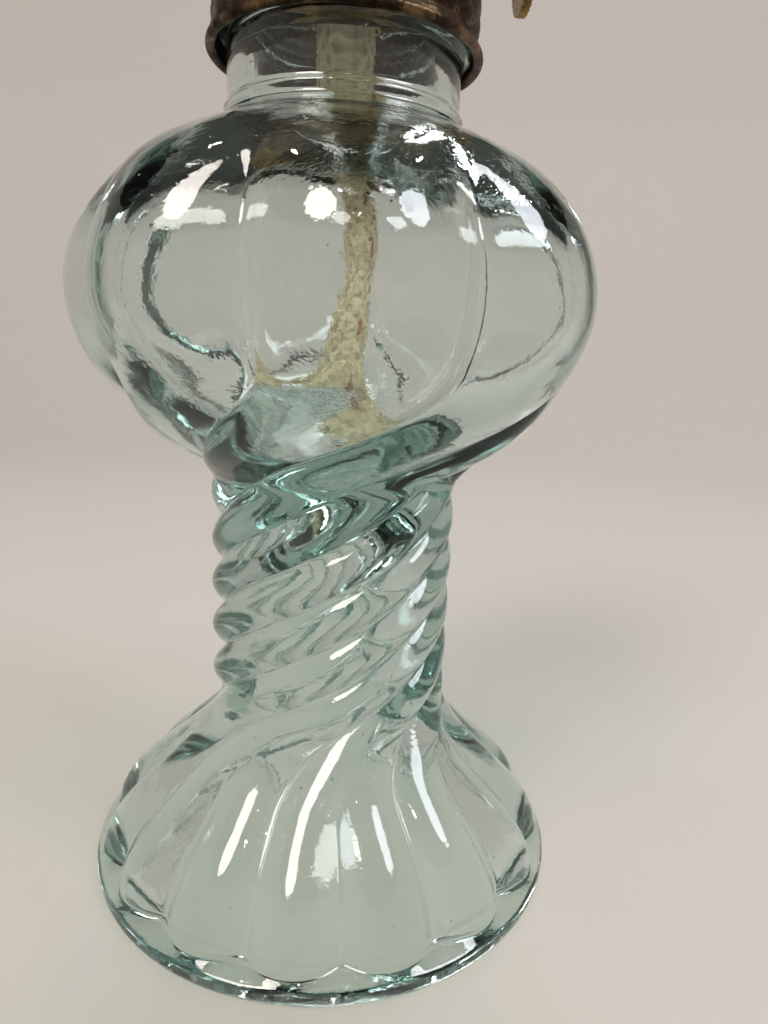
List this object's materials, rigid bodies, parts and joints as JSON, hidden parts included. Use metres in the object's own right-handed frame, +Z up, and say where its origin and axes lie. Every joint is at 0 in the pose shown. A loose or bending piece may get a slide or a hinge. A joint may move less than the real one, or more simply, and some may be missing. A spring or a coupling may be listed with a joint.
{
  "type": "kerosene lamp",
  "caption": "Table oil lamp of twisted, lobed green glass with a screw-on flat-wick burner, a wick raiser with thumb wheel, and a lift-off glass chimney.",
  "frame": {"origin": "centre of the foot's flat underside, on the lamp's axis", "axes": "+Z up along the lamp's axis, -Y towards the viewer of the picture, +X to the thumb wheel"},
  "size_m": [0.1134, 0.1134, 0.3724],
  "materials": {
    "green_glass": "fire-polished, seedy",
    "clear_glass": "blown, clear",
    "aged_bronze": "dark, tarnished",
    "brass_sheet": "worn, partly tarnished",
    "steel": "dull",
    "cork": "pressed cork",
    "cotton": "coarse woven"
  },
  "bodies": {
    "glass": {"glass_body": "green_glass"},
    "seal": {"neck_seal": "cork"},
    "burner": {"screw_cap": "aged_bronze", "deck_plate": "brass_sheet", "wick_tube": "brass_sheet", "vent_tube": "brass_sheet", "raiser_housing": "brass_sheet", "shaft_bush": "brass_sheet", "air_basket": "brass_sheet", "inner_strainer": "brass_sheet", "gallery_ring": "brass_sheet", "prong_front": "brass_sheet", "prong_right": "brass_sheet", "prong_back": "brass_sheet", "prong_left": "brass_sheet", "prong_rivets": "brass_sheet", "flame_spreader": "brass_sheet"},
    "raiser": {"raiser_shaft": "steel", "spur_wheel_left": "steel", "spur_wheel_right": "steel", "thumb_wheel": "brass_sheet"},
    "wick": {"wick": "cotton"},
    "chimney": {"chimney": "clear_glass"}
  },
  "joints": [
    {"name": "burner_rise", "type": "slide", "parent": "glass", "child": "seal", "axis": [0, 0, 1], "range_m": [0, 0.0069]},
    {"name": "burner_turn", "type": "hinge", "parent": "seal", "child": "burner", "pos_m": [0, 0, 0.1925], "axis": [0, 0, 1], "range_deg": [0, 450]},
    {"name": "wick_turn", "type": "hinge", "parent": "burner", "child": "raiser", "pos_m": [0.037, 0.0048, 0.1996], "axis": [-1, 0, 0], "range_deg": [-73, 184]},
    {"name": "wick_slide", "type": "slide", "parent": "burner", "child": "wick", "axis": [0, 0, 1], "range_m": [-0.004, 0.01]},
    {"name": "chimney_lift", "type": "slide", "parent": "burner", "child": "chimney", "axis": [0, 0, 1], "range_m": [0, 0.04]}
  ],
  "couplings": [
    {"joint": "burner_rise", "follows": "burner_turn", "m_per_rad": 0.00087535},
    {"joint": "wick_slide", "follows": "wick_turn", "m_per_rad": 0.0031}
  ]
}
